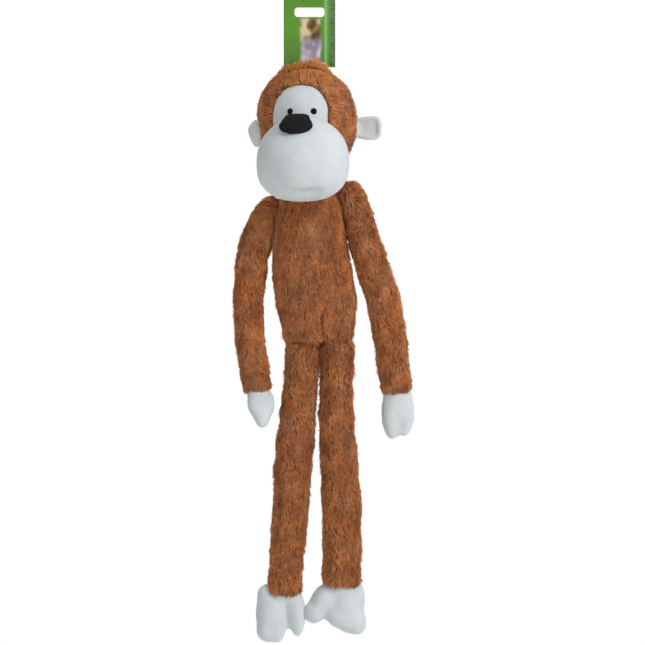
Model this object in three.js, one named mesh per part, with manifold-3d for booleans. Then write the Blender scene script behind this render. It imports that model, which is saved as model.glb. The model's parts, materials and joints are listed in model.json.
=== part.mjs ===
// A long-limbed stuffed monkey hanging from its header card, in millimetres.
//
// Frame: +Z is up and the monkey faces -Y, so its own left side is at +X.
// The origin is the middle of the top edge of the hang slot in the card.
//
// Each limb is a fur sleeve round a core of stuffing. Below every joint the core starts in a
// ball round the pivot, and above it the sleeve stops short of that ball, so the limb can bend.

import * as THREE from "three";
import { mergeVertices } from "three/addons/utils/BufferGeometryUtils.js";
import Module from "manifold-3d";

const wasm = await Module();
wasm.setup();

// ---- Driving dimensions -------------------------------------------------------------------

const gap = 0.3;           // between pieces that touch
const furWall = 2.5;       // fur cloth with its backing
const clothWall = 1.8;     // short-pile white cloth
const degrees = Math.PI / 180;
const far = 250;           // further out than any piece reaches from its own group

const card = {
  width: 54,
  top: 18,
  bottom: -62.7,
  leaf: 0.5,
  fold: 1.0,
  slotWidth: 31.5,
  slotHeight: 10,
  slotCorner: 3.5,
};
const pin = {
  spread: 12,
  height: -59,
  behind: 4.5,
  bend: 2,
  depth: 10,
  radius: 0.5,
  bar: 9,
  barRadius: 1,
  hole: 2.7,
};

const head = {
  centre: [-1.2, -8.6, -117],
  turn: -8,
  radii: [50.5, 48, 54],
};
const face = { halfWidth: 31, top: 34.6, waist: -1, hem: -20, front: -70, back: -8 };
const muzzle = { centre: [0.5, -44, -44.7], radii: [48.8, 38, 42.5], mouth: -31, mouthTilt: 12 };
const nose = {
  centre: [-3.5, -58.5, -6.5],
  lean: 42,
  width: 34.5,
  top: 24,
  length: 29,
  corner: 8,
  thickness: 12,
  bevel: 3,
};
const eye = { apart: 27, height: 9, radius: 3.3, crown: 2.4, sunk: 0.6 };
const ear = {
  side: 54,
  back: 8,
  root: 4.5,
  rootHeight: 18,
  flapCentre: 11.75,
  flapRadii: [12.75, 4.1, 13.5],
};

const torso = {
  neck: [-2, 15.4, -190.5],
  tilt: 4.5,
  axisBack: 1,
  depth: 0.74,
  neckRadius: 20.5,
  length: 160,
  widest: 42,
};
const squeaker = {
  drop: 90,
  back: 1,
  radius: 18,
  thickness: 20,
  mouth: 4.2,
  wall: 1.2,
  shoulder: 2.5,
  groove: 2,
  ridge: 6.2,
};
const reed = { bore: 1.2, depth: 6, flange: 1.5, height: 2 };

// Radii down each stretch of a limb: at its own pivot, at its fullest and at its lower end.
// The sleeve stops short of the next pivot by the rim, and is fullest after the taper.
const arm = {
  upper: { top: 10.5, full: 14.8, taper: 42, end: 14.8, rim: 15.4 },
  lower: { top: 14.8, full: 15, taper: 30, end: 14.2, rim: 10.2 },
};
const leg = {
  upper: { top: 14.5, full: 17, taper: 36, end: 17.2, rim: 17.8 },
  lower: { top: 17.2, full: 17.8, taper: 40, end: 16.2, rim: 14.6 },
};
const wristRadius = 9.5;
const ankleRadius = 12.5;
const openTop = -3;        // height of the open top of a hand or foot, from its pivot

// Lobes of the left hand and foot, each hanging below its pivot; the right ones are mirrored.
const handLobes = [
  { radii: [13, 9.5, 27], centre: [-4.5, 0, -25], tilt: 2 },
  { radii: [8.5, 8, 21], centre: [8.5, -1, -25], tilt: -4 },
];
const sole = { radii: [18, 12, 32], centre: [8, 0, -22] };
const bigToe = { radii: [10, 9, 26], height: -20, forward: 1 };

// Left and right are the monkey's own. Angles are in degrees, and a tilt leans a limb towards
// +X as it goes down. Hands and feet hang from their own turn, tilt forwards and lobes.
const sides = {
  left: {
    sign: 1,
    shoulder: [46, 15.4, -199],
    armLengths: [106, 102],
    armTilts: [16.6, 8.7],
    hip: [30, 16.4, -366.5],
    legLengths: [120, 120],
    legTilts: [0.9, 0.9],
    earHeight: -10,
    earTurn: 0,
    handForward: 0,
    handTurn: 0,
    footForward: 10,
    toeTilt: 40,
    toeOut: -17.5,
    soleTilt: -14,
  },
  right: {
    sign: -1,
    shoulder: [-46, 15.4, -209],
    armLengths: [103, 93],
    armTilts: [-10.6, 6.5],
    hip: [-7, 16.4, -366.5],
    legLengths: [120, 130],
    legTilts: [-5, -4],
    earHeight: -15,
    earTurn: 62,
    handForward: 38,
    handTurn: 35,
    footForward: 2,
    toeTilt: 20,
    toeOut: -10.5,
    soleTilt: -20,
  },
};

// ---- Solids -------------------------------------------------------------------------------

/** A three.js geometry as a closed solid: shared corners merged, faces without area dropped. */
function solid(geometry) {
  const bare = geometry.clone();
  bare.deleteAttribute("normal");
  bare.deleteAttribute("uv");
  const merged = mergeVertices(bare, 1e-4);
  const corners = merged.index.array;
  const kept = [];
  for (let i = 0; i < corners.length; i += 3) {
    const [a, b, c] = corners.slice(i, i + 3);
    if (a !== b && b !== c && c !== a) {
      kept.push(a, b, c);
    }
  }
  const points = merged.attributes.position.array;
  if (signedVolume(points, kept) < 0) {
    kept.reverse();
  }
  return new wasm.Manifold(
    new wasm.Mesh({
      numProp: 3,
      vertProperties: new Float32Array(points),
      triVerts: new Uint32Array(kept),
    }),
  );
}

/** Six times the volume inside the triangles, negative when they face inwards. */
function signedVolume(points, corners) {
  const a = new THREE.Vector3();
  const b = new THREE.Vector3();
  const c = new THREE.Vector3();
  let total = 0;
  for (let i = 0; i < corners.length; i += 3) {
    a.fromArray(points, corners[i] * 3);
    b.fromArray(points, corners[i + 1] * 3);
    c.fromArray(points, corners[i + 2] * 3);
    total += a.dot(b.cross(c));
  }
  return total;
}

/** A solid turned back into a three.js geometry. */
function geometryOf(body) {
  const mesh = body.getMesh();
  const geometry = new THREE.BufferGeometry();
  geometry.setAttribute("position", new THREE.BufferAttribute(mesh.vertProperties, 3));
  geometry.setIndex(new THREE.BufferAttribute(mesh.triVerts, 1));
  geometry.computeVertexNormals();
  return geometry;
}

/** A solid turned round Z. Its outline is a list of [radius, height]; depth flattens it along Y. */
function turned(outline, sidesRound = 14, depth = 1, back = 0) {
  const points = outline.map(([radius, height]) => new THREE.Vector2(Math.max(radius, 0), height));
  const geometry = new THREE.LatheGeometry(points, sidesRound);
  geometry.rotateX(Math.PI / 2);
  geometry.scale(1, depth, 1);
  geometry.translate(0, back, 0);
  return solid(geometry);
}

/** An ellipsoid with its poles on Z. */
function ball(radii, centre = [0, 0, 0], round = 18, rows = 10) {
  const geometry = new THREE.SphereGeometry(1, round, rows);
  geometry.rotateX(Math.PI / 2);
  geometry.scale(...radii);
  geometry.translate(...centre);
  return solid(geometry);
}

/** A box between two corners. */
function block(low, high) {
  const size = high.map((value, i) => value - low[i]);
  const middle = high.map((value, i) => (value + low[i]) / 2);
  const geometry = new THREE.BoxGeometry(...size);
  geometry.translate(...middle);
  return solid(geometry);
}

/** A shape drawn in X and Z, with its thickness running from front to back along Y. */
function slab(shape, front, back, bevel = 0) {
  const geometry = new THREE.ExtrudeGeometry(shape, {
    depth: back - front - 2 * bevel,
    bevelEnabled: bevel > 0,
    bevelThickness: bevel,
    bevelSize: bevel,
    bevelOffset: -bevel,
    bevelSegments: 2,
    curveSegments: 4,
  });
  geometry.rotateX(Math.PI / 2);
  geometry.translate(0, back - bevel, 0);
  return solid(geometry);
}

/** A quarter circle from the top of a ball down to its waist, as [radius, height]. */
function ballOutline(radius, steps = 4) {
  const outline = [];
  for (let i = 0; i <= steps; i += 1) {
    const angle = (i / steps) * (Math.PI / 2);
    outline.push([radius * Math.sin(angle), radius * Math.cos(angle)]);
  }
  return outline;
}

const grown = (radii, by) => radii.map((radius) => radius + by);

// ---- Materials ----------------------------------------------------------------------------

const looks = {
  fur: { color: 0x96552f, roughness: 0.95, metalness: 0 },
  cloth: { color: 0xd9dfe2, roughness: 0.9, metalness: 0 },
  blackCloth: { color: 0x0c0c0e, roughness: 0.8, metalness: 0 },
  stuffing: { color: 0xf2f0ea, roughness: 1, metalness: 0 },
  paper: { color: 0x4f9a32, roughness: 0.45, metalness: 0 },
  nylon: { color: 0xe8e8e4, roughness: 0.35, metalness: 0 },
  plastic: { color: 0xd8d4c6, roughness: 0.4, metalness: 0 },
};

/** A named piece with a material of its own. */
function piece(name, body, look) {
  const mesh = new THREE.Mesh(geometryOf(body), new THREE.MeshStandardMaterial(looks[look]));
  mesh.name = name;
  return mesh;
}

function group(name, position, ...children) {
  const made = new THREE.Group();
  made.name = name;
  made.position.set(...position);
  made.add(...children);
  return made;
}

// ---- Header card and its fasteners --------------------------------------------------------

function roundedSlot(width, height, corner) {
  const [x, z] = [width / 2, height];
  const shape = new THREE.Shape();
  shape.moveTo(-x + corner, 0);
  shape.lineTo(x - corner, 0);
  shape.absarc(x - corner, corner, corner, -Math.PI / 2, 0);
  shape.absarc(x - corner, z - corner, corner, 0, Math.PI / 2);
  shape.absarc(-x + corner, z - corner, corner, Math.PI / 2, Math.PI);
  shape.absarc(-x + corner, corner, corner, Math.PI, Math.PI * 1.5);
  return shape;
}

/** One sheet folded over at the top, with the hang slot and the pin holes through both leaves. */
function headerCard() {
  const outer = card.fold / 2 + card.leaf;
  const inner = card.fold / 2;
  const bend = card.top - outer;
  const section = new THREE.Shape();
  section.moveTo(-outer, card.bottom);
  section.lineTo(-inner, card.bottom);
  section.absarc(0, bend, inner, Math.PI, 0, true);
  section.lineTo(inner, card.bottom);
  section.lineTo(outer, card.bottom);
  section.absarc(0, bend, outer, 0, Math.PI, false);
  const sheet = new THREE.ExtrudeGeometry(section, {
    depth: card.width,
    bevelEnabled: false,
    curveSegments: 3,
  });
  const alongX = new THREE.Matrix4().makeBasis(
    new THREE.Vector3(0, 1, 0),
    new THREE.Vector3(0, 0, 1),
    new THREE.Vector3(1, 0, 0),
  );
  sheet.applyMatrix4(alongX);
  sheet.translate(-card.width / 2, 0, 0);

  const slotShape = roundedSlot(card.slotWidth, card.slotHeight, card.slotCorner);
  let body = solid(sheet).subtract(slab(slotShape, -4, 4).translate(0, 0, -card.slotHeight));
  for (const side of [-1, 1]) {
    const hole = new THREE.CylinderGeometry(2 * pin.radius, 2 * pin.radius, 8, 8);
    hole.translate(side * pin.spread, 0, pin.height);
    body = body.subtract(solid(hole));
  }
  return piece("header_card", body, "paper");
}

/** A nylon tag pin: a bar in front of the card and a thread back through it, down into the head. */
function tagPin(side) {
  const x = sides[side].sign * pin.spread;
  const front = -(card.fold / 2 + card.leaf + gap) - pin.barRadius;
  const path = new THREE.CurvePath();
  const corner = new THREE.Vector3(x, pin.behind, pin.height);
  const start = new THREE.Vector3(x, front, pin.height);
  const beforeBend = new THREE.Vector3(x, pin.behind - pin.bend, pin.height);
  const afterBend = new THREE.Vector3(x, pin.behind, pin.height - pin.bend);
  const end = new THREE.Vector3(x, pin.behind, pin.height - pin.depth);
  path.add(new THREE.LineCurve3(start, beforeBend));
  path.add(new THREE.QuadraticBezierCurve3(beforeBend, corner, afterBend));
  path.add(new THREE.LineCurve3(afterBend, end));
  const section = new THREE.Shape().absarc(0, 0, pin.radius, 0, Math.PI * 2);
  const thread = new THREE.ExtrudeGeometry(section, {
    extrudePath: path,
    steps: 8,
    curveSegments: 3,
  });
  const bar = new THREE.CylinderGeometry(pin.barRadius, pin.barRadius, pin.bar, 6);
  bar.rotateZ(Math.PI / 2);
  bar.translate(x, front, pin.height);
  return piece(`tag_pin_${side}`, solid(thread).add(solid(bar)), "nylon");
}

/** The holes that the two pins go down, as solids in the head's own frame. */
function pinHoles() {
  let holes = null;
  for (const side of ["left", "right"]) {
    const x = sides[side].sign * pin.spread;
    const hole = new THREE.CylinderGeometry(pin.hole, pin.hole, 2 * pin.depth, 8);
    hole.rotateX(Math.PI / 2);
    hole.translate(x, pin.behind, pin.height - pin.depth / 2 - pin.bend);
    hole.translate(...head.centre.map((value) => -value));
    hole.rotateZ(-head.turn * degrees);
    holes = holes ? holes.add(solid(hole)) : solid(hole);
  }
  return holes;
}

// ---- Head ---------------------------------------------------------------------------------

/** The arched outline of the white forehead, as a solid that reaches out through the front. */
function faceCutter(grow) {
  const width = face.halfWidth + grow;
  const rise = face.top - face.waist + grow;
  const shape = new THREE.Shape();
  shape.moveTo(-width, face.hem - grow);
  shape.lineTo(width, face.hem - grow);
  shape.lineTo(width, face.waist);
  shape.absellipse(0, face.waist, width, rise, 0, Math.PI);
  return slab(shape, face.front, face.back);
}

function noseCutter() {
  const shape = new THREE.Shape();
  const [low, high] = [-nose.length / 2, nose.length / 2];
  shape.moveTo(-nose.top / 2, high);
  shape.lineTo(-nose.width / 2, low + nose.corner);
  shape.quadraticCurveTo(-nose.width / 2, low, -nose.width / 4, low);
  shape.lineTo(nose.width / 4, low);
  shape.quadraticCurveTo(nose.width / 2, low, nose.width / 2, low + nose.corner);
  shape.lineTo(nose.top / 2, high);
  shape.closePath();
  const pad = slab(shape, -nose.thickness / 2, nose.thickness / 2, nose.bevel);
  return pad.rotate(-nose.lean, 0, 0).translate(...nose.centre);
}

/** An ear: a round root in line with its hinge, and a flat round flap. */
function earFlap(side) {
  const root = new THREE.CylinderGeometry(ear.root, ear.root, ear.rootHeight, 12);
  root.rotateX(Math.PI / 2);
  const flap = ball(ear.flapRadii, [ear.flapCentre, 0, 0], 12, 8);
  const { sign, earTurn, earHeight } = sides[side];
  const hinge = group(
    `ear_hinge_${side}`,
    [sign * ear.side, ear.back, earHeight],
    piece(`ear_${side}`, solid(root).add(flap), "cloth"),
  );
  hinge.rotation.z = sign > 0 ? earTurn * degrees : Math.PI - earTurn * degrees;
  return hinge;
}

function headGroup() {
  const cranium = ball(head.radii);
  const craniumInside = ball(grown(head.radii, -furWall));
  const craniumClear = ball(grown(head.radii, gap));
  const stuffingBall = ball(grown(head.radii, -furWall - gap));
  const snout = ball(muzzle.radii, muzzle.centre);
  const snoutClear = ball(grown(muzzle.radii, gap), muzzle.centre);
  const snoutInside = ball(grown(muzzle.radii, -clothWall), muzzle.centre);
  const snoutStuffing = ball(grown(muzzle.radii, -clothWall - gap), muzzle.centre);
  const shell = cranium.subtract(craniumInside);
  const holes = pinHoles();

  const hood = shell.subtract(faceCutter(gap)).subtract(snoutClear).subtract(holes);
  const leftHalf = block([gap / 2, -far, -far], [far, far, far]);
  const rightHalf = block([-far, -far, -far], [-gap / 2, far, far]);
  const facePanel = shell.intersect(faceCutter(0)).subtract(snoutClear);

  const muzzleShell = snout.subtract(snoutInside).subtract(craniumClear);
  const aboveMouth = block([-far, -far, gap / 2], [far, far, far]);
  const belowMouth = block([-far, -far, -far], [far, far, -gap / 2]);
  const atMouth = (body) =>
    body.rotate(muzzle.mouthTilt, 0, 0).translate(0, muzzle.centre[1], muzzle.centre[2] + muzzle.mouth);

  const nosePad = noseCutter().subtract(snoutClear).subtract(craniumClear);
  const eyes = ["left", "right"].map((side) => {
    const x = (sides[side].sign * eye.apart) / 2;
    const [rx, ry, rz] = head.radii;
    const onFace = -ry * Math.sqrt(1 - (x / rx) ** 2 - (eye.height / rz) ** 2);
    const bead = ball([eye.radius, eye.crown, eye.radius], [x, onFace - eye.sunk, eye.height], 10, 6);
    return piece(`eye_${side}`, bead.subtract(craniumClear), "blackCloth");
  });

  const made = group(
    "head",
    head.centre,
    piece("hood_left", hood.intersect(leftHalf), "fur"),
    piece("hood_right", hood.intersect(rightHalf), "fur"),
    piece("face_panel", facePanel, "cloth"),
    piece("muzzle_upper", muzzleShell.intersect(atMouth(aboveMouth)), "cloth"),
    piece("muzzle_lower", muzzleShell.intersect(atMouth(belowMouth)), "cloth"),
    piece("nose", nosePad, "blackCloth"),
    ...eyes,
    piece("head_stuffing", stuffingBall.subtract(holes), "stuffing"),
    piece("muzzle_stuffing", snoutStuffing.subtract(craniumClear), "stuffing"),
    earFlap("left"),
    earFlap("right"),
  );
  made.rotation.z = head.turn * degrees;
  return made;
}

// ---- Torso --------------------------------------------------------------------------------

/** The torso's half outline from the neck down, drawn in by the given amount. */
function torsoOutline(inset) {
  const acrossBy = 1 - inset / torso.widest;
  const downBy = 1 - inset / torso.length;
  const points = [
    [torso.neckRadius, 0],
    [32, 14],
    [36, 40],
    [39, 80],
    [torso.widest, 122],
    [38.5, 144],
    [25, 156.5],
    [0, torso.length],
  ];
  const curve = new THREE.SplineCurve(
    points.map(([radius, down]) => new THREE.Vector2(radius * acrossBy, -down * downBy)),
  );
  return curve.getPoints(11).map((point) => [point.x, point.y]);
}

function torsoGroup() {
  const outside = torsoOutline(0).reverse();
  const inside = torsoOutline(furWall);
  const round = 20;
  const shell = turned([...outside, ...inside], round, torso.depth, torso.axisBack);
  const seam = torso.axisBack;
  const frontHalf = block([-far, -far, -far], [far, seam - gap / 2, far]);
  const backHalf = block([-far, seam + gap / 2, -far], [far, far, far]);

  const core = torsoOutline(furWall + 2 * gap);
  core[0] = [core[0][0], gap];
  const dome = ballOutline(torso.neckRadius - gap).map(([radius, height]) => [radius, height + gap]);
  const pocketRadius = squeaker.radius + 1;
  const pocketFront = squeaker.back - squeaker.thickness / 2 - 1;
  const pocket = new THREE.CylinderGeometry(pocketRadius, pocketRadius, torso.widest, 16);
  pocket.translate(0, pocketFront + torso.widest / 2, -squeaker.drop);
  const stuffing = turned([...dome, ...core], round, torso.depth, torso.axisBack).subtract(solid(pocket));

  const made = group(
    "torso",
    torso.neck,
    piece("torso_front", shell.intersect(frontHalf), "fur"),
    piece("torso_back", shell.intersect(backHalf), "fur"),
    piece("torso_stuffing", stuffing, "stuffing"),
    ...squeakerPieces(),
  );
  made.rotation.y = -torso.tilt * degrees;
  return made;
}

/** The squeaker: a hollow plastic bellows with a reed pressed into its mouth, facing the back. */
function squeakerPieces() {
  const { radius, thickness, mouth, wall, shoulder, groove, ridge } = squeaker;
  const half = thickness / 2;
  const bellows = (inset) => [
    [radius - shoulder - inset, -half + inset],
    [radius - inset, -ridge],
    [radius - groove - inset, 0],
    [radius - inset, ridge],
    [radius - shoulder - inset, half - inset],
  ];
  const body = turned(
    [
      [0, -half],
      ...bellows(0),
      [mouth, half],
      [mouth, half - wall],
      ...bellows(wall).reverse(),
      [0, -half + wall],
    ],
    16,
  );
  const stem = mouth - gap;
  const rim = mouth + reed.flange;
  const [inner, seat, outer] = [half - reed.depth, half + gap, half + reed.height];
  const plug = turned(
    [
      [reed.bore, inner],
      [stem, inner],
      [stem, seat],
      [rim, seat],
      [rim, outer],
      [reed.bore, outer],
      [reed.bore, inner],
    ],
    10,
  );
  const placed = (made) => made.rotate(-90, 0, 0).translate(0, squeaker.back, -squeaker.drop);
  return [
    piece("squeaker_body", placed(body), "plastic"),
    piece("squeaker_reed", placed(plug), "nylon"),
  ];
}

// ---- Limbs --------------------------------------------------------------------------------

/** Outline of a limb from its pivot down to the given length, drawn in by the given amount. */
function limbOutline(part, from, to, inset) {
  return [
    [part.top - inset, -from],
    [part.full - inset, -part.taper],
    [part.end - inset, -to],
  ];
}

/** The fur sleeve and the stuffing of one straight stretch of a limb, hanging from its pivot. */
function limbStretch(part, length, sleeveName, stuffingName) {
  const to = length - part.rim;
  const outside = limbOutline(part, 0, to, 0);
  const inside = limbOutline(part, 0, to, furWall).reverse();
  const sleeve = turned([...outside, ...inside, outside[0]]);
  const dome = ballOutline(part.top - gap).map(([radius, height]) => [radius, height + gap]);
  const core = limbOutline(part, -gap, to, furWall + gap);
  const stuffing = turned([...dome, [core[0][0], gap], ...core.slice(1), [0, -to]]);
  return [piece(sleeveName, sleeve, "fur"), piece(stuffingName, stuffing, "stuffing")];
}

/** A mitten or foot: lobes joined into a cloth skin that is open at the top, and its stuffing. */
function lobedEnd(lobes, neckRadius, skinName, stuffingName) {
  const joined = (inset) => {
    const bodies = lobes.map(({ radii, centre, tilt }) =>
      ball(grown(radii, -inset), [0, 0, 0], 10, 7).rotate(0, tilt, 0).translate(...centre),
    );
    return bodies.reduce((all, body) => all.add(body));
  };
  const above = block([-far, -far, openTop], [far, far, far]);
  const skin = joined(0).subtract(joined(clothWall)).subtract(above);
  const neck = ball([neckRadius, neckRadius, neckRadius], [0, 0, 0], 10, 6);
  const core = joined(clothWall + gap);
  const bottomOfNeck = block([-far, -far, -far], [far, far, openTop + gap]);
  const stuffing = core.add(neck.subtract(bottomOfNeck)).subtract(above.subtract(neck));
  return [piece(skinName, skin, "cloth"), piece(stuffingName, stuffing, "stuffing")];
}

function armGroup(side) {
  const { sign, shoulder, armLengths, armTilts, handForward, handTurn } = sides[side];
  const lobes = handLobes.map(({ radii, centre: [x, y, z], tilt }) => ({
    radii,
    centre: [x * sign, y, z],
    tilt: tilt * sign,
  }));
  const hand = group(
    `wrist_${side}`,
    [0, 0, -armLengths[1]],
    ...lobedEnd(lobes, wristRadius, `hand_${side}`, `hand_stuffing_${side}`),
  );
  hand.rotation.set(-handForward * degrees, armTilts[1] * degrees, handTurn * degrees);
  const forearm = group(
    `elbow_${side}`,
    [0, 0, -armLengths[0]],
    ...limbStretch(arm.lower, armLengths[1], `lower_sleeve_${side}`, `forearm_stuffing_${side}`),
    hand,
  );
  forearm.rotation.y = -(armTilts[1] - armTilts[0]) * degrees;
  const upper = group(
    `shoulder_${side}`,
    shoulder,
    ...limbStretch(arm.upper, armLengths[0], `upper_sleeve_${side}`, `upper_arm_stuffing_${side}`),
    forearm,
  );
  upper.rotation.y = -armTilts[0] * degrees;
  return upper;
}

function legGroup(side) {
  const { sign, hip, legLengths, legTilts, footForward, toeTilt, toeOut, soleTilt } = sides[side];
  const [x, y, z] = sole.centre;
  const lobes = [
    { radii: sole.radii, centre: [x * sign, y, z], tilt: soleTilt * sign },
    { radii: bigToe.radii, centre: [toeOut * sign, -bigToe.forward, bigToe.height], tilt: toeTilt * sign },
  ];
  const foot = group(
    `ankle_${side}`,
    [0, 0, -legLengths[1]],
    ...lobedEnd(lobes, ankleRadius, `foot_${side}`, `foot_stuffing_${side}`),
  );
  foot.rotation.x = -footForward * degrees;
  const shin = group(
    `knee_${side}`,
    [0, 0, -legLengths[0]],
    ...limbStretch(leg.lower, legLengths[1], `shin_sleeve_${side}`, `shin_stuffing_${side}`),
    foot,
  );
  shin.rotation.y = -(legTilts[1] - legTilts[0]) * degrees;
  const thigh = group(
    `hip_${side}`,
    hip,
    ...limbStretch(leg.upper, legLengths[0], `thigh_sleeve_${side}`, `thigh_stuffing_${side}`),
    shin,
  );
  thigh.rotation.y = -legTilts[0] * degrees;
  return thigh;
}

// ---- The whole toy ------------------------------------------------------------------------

const monkey = group(
  "stuffed_monkey",
  [0, 0, 0],
  headerCard(),
  tagPin("left"),
  tagPin("right"),
  headGroup(),
  torsoGroup(),
  armGroup("left"),
  armGroup("right"),
  legGroup("left"),
  legGroup("right"),
);

export default monkey;
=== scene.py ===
"""A long-limbed stuffed monkey hanging from its header card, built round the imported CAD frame.

Lengths are in metres in the frame's own axes: +Z up, the monkey faces -Y, its own left is +X.
Soft skins are closed forms puffed up by cloth simulation, and the fur is made of real locks.
"""

import json
from math import cos, pi, radians, sin, sqrt, tan

import bmesh
import bpy
import numpy as np
from mathutils import Matrix, Vector, noise

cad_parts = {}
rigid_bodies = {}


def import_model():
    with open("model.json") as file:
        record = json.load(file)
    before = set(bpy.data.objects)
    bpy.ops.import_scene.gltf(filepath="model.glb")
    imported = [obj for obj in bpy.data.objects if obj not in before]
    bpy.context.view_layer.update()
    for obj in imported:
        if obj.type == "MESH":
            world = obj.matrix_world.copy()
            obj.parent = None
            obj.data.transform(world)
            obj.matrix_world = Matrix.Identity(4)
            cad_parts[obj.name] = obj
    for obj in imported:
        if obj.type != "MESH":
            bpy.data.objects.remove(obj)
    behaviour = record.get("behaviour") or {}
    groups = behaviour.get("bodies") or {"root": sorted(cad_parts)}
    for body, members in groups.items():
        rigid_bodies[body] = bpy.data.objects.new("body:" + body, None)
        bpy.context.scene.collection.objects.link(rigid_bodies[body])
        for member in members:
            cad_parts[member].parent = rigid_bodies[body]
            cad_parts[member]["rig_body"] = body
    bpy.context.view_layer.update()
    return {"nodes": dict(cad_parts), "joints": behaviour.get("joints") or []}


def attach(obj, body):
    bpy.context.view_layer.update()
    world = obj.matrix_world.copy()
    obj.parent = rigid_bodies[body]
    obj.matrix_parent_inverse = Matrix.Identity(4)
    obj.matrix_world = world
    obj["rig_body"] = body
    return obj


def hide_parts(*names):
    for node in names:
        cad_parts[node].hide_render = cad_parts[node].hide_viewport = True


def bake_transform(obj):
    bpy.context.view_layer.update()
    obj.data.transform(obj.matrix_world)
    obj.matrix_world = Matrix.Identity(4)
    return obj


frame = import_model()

scene = bpy.context.scene
mm = 0.001
down = np.array([0.0, 0.0, -1.0])
sideways = np.array([1.0, 0.0, 0.0])
pivots = {joint["name"]: np.array(joint["pos_m"]) for joint in frame["joints"]}

# ---- Driving dimensions ----

head_centre = np.array([-1.2, -8.6, -117.0]) * mm
head_turn = radians(-8)
head_radii = np.array([50.5, 48.0, 54.0]) * mm
face_half = np.array([0.598, 0.645])    # half width and height of the face, as shares of the head's
face_squareness = 2.25
face_lean = radians(3.5)                # the face leans towards its own left at the top
face_turn = radians(-4.7)               # and lies a little further round than the head turns
muzzle_centre = np.array([0.5, -44.0, -44.7]) * mm      # from the head's centre, before it turns
muzzle_radii = np.array([48.8, 38.0, 42.5]) * mm
torso_tilt = radians(4.5)
torso_depth = 0.76

# ---- Small helpers ----


def placed(name, data):
    """A new object in the scene that shows the data."""
    made = bpy.data.objects.new(name, data)
    scene.collection.objects.link(made)
    return made


def mesh_object(name, points, faces):
    """A smooth-shaded mesh object."""
    mesh = bpy.data.meshes.new(name)
    mesh.from_pydata(points, [], faces)
    mesh.update()
    mesh.shade_smooth()
    return placed(name, mesh)


def points_of(obj):
    """The mesh's points as an array."""
    points = np.empty(len(obj.data.vertices) * 3)
    obj.data.vertices.foreach_get("co", points)
    return points.reshape(-1, 3)


def set_points(obj, points):
    """Puts the mesh's points at new places."""
    obj.data.vertices.foreach_set("co", np.asarray(points, np.float32).ravel())
    obj.data.update()


def normals_of(obj):
    """The smooth normal at each of the mesh's points."""
    normals = np.empty(len(obj.data.vertices) * 3)
    obj.data.vertex_normals.foreach_get("vector", normals)
    return normals.reshape(-1, 3)


def unit(vectors):
    """Vectors scaled to length one."""
    return vectors / np.maximum(np.linalg.norm(vectors, axis=-1, keepdims=True), 1e-12)


def turned(points, angle, axis="Z"):
    """Points turned about an axis through the origin."""
    return np.asarray(points) @ np.array(Matrix.Rotation(angle, 3, axis)).T


def on_head(points):
    """Points given from the head's centre, before it turns, as points in the frame."""
    return turned(points, head_turn) + head_centre


def from_head(points):
    """Points in the frame as points from the head's centre, before it turns."""
    return turned(points - head_centre, -head_turn)


def through(knots, count):
    """Points spaced along a smooth curve through the knots."""
    padded = np.vstack([2 * knots[0] - knots[1], knots, 2 * knots[-1] - knots[-2]])
    steps = np.linspace(0, len(knots) - 1, count)
    spans = np.minimum(steps.astype(int), len(knots) - 2)
    t = (steps - spans)[:, None]
    a, b, c, d = (padded[spans + i] for i in range(4))
    return 0.5 * (2 * b + (c - a) * t + (2 * a - 5 * b + 4 * c - d) * t**2
                  + (3 * b - a - 3 * c + d) * t**3)


def ring_faces(rings, sides):
    """Faces of a closed skin of rings, with one point at each end."""
    pairs = [(j, (j + 1) % sides) for j in range(sides)]
    ends = rings * sides, rings * sides + 1
    end_ring = ends[0] - sides
    faces = []
    for ring in range(0, end_ring, sides):
        faces += [(ring + j, ring + k, ring + sides + k, ring + sides + j) for j, k in pairs]
    for j, k in pairs:
        faces += [(ends[0], k, j), (ends[1], end_ring + j, end_ring + k)]
    return faces


def tube(name, centres, radii, sides=32, depth=1.0):
    """A closed tube of rings round centres that lie in a plane of constant Y."""
    along = unit(np.gradient(centres, axis=0))
    back = np.array([0.0, 1.0, 0.0])
    side = unit(np.cross(back, along))
    angles = np.arange(sides) * 2 * pi / sides
    ring = np.cos(angles)[:, None, None] * side + depth * np.sin(angles)[:, None, None] * back
    rings = centres + radii[:, None] * ring
    points = np.vstack([rings.transpose(1, 0, 2).reshape(-1, 3), centres[0], centres[-1]])
    made = mesh_object(name, points, ring_faces(len(centres), sides))
    faces_out(made)
    return made


def faces_out(obj):
    """All faces turned outwards."""
    work = bmesh.new()
    work.from_mesh(obj.data)
    bmesh.ops.recalc_face_normals(work, faces=work.faces)
    work.to_mesh(obj.data)
    work.free()


def apply_modifiers(obj):
    """Makes the object's modifiers part of its mesh."""
    graph = bpy.context.evaluated_depsgraph_get()
    mesh = bpy.data.meshes.new_from_object(obj.evaluated_get(graph))
    obj.modifiers.clear()
    old = obj.data
    obj.data = mesh
    bpy.data.meshes.remove(old)
    obj.data.shade_smooth()


def joined(name, parts):
    """Several objects made into one."""
    work = bmesh.new()
    for part in parts:
        work.from_mesh(part.data)
        bpy.data.objects.remove(part)
    mesh = bpy.data.meshes.new(name)
    work.to_mesh(mesh)
    work.free()
    mesh.shade_smooth()
    return placed(name, mesh)


def ellipsoid(centre, radii, lean=0.0):
    """A ball with three radii, turned about Y by its lean."""
    work = bmesh.new()
    bmesh.ops.create_icosphere(work, subdivisions=3, radius=1.0)
    place = Matrix.Translation(centre) @ Matrix.Rotation(lean, 4, "Y") @ Matrix.Diagonal((*radii, 1.0))
    bmesh.ops.transform(work, matrix=place, verts=work.verts)
    mesh = bpy.data.meshes.new("ball")
    work.to_mesh(mesh)
    work.free()
    return placed("ball", mesh)


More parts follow.
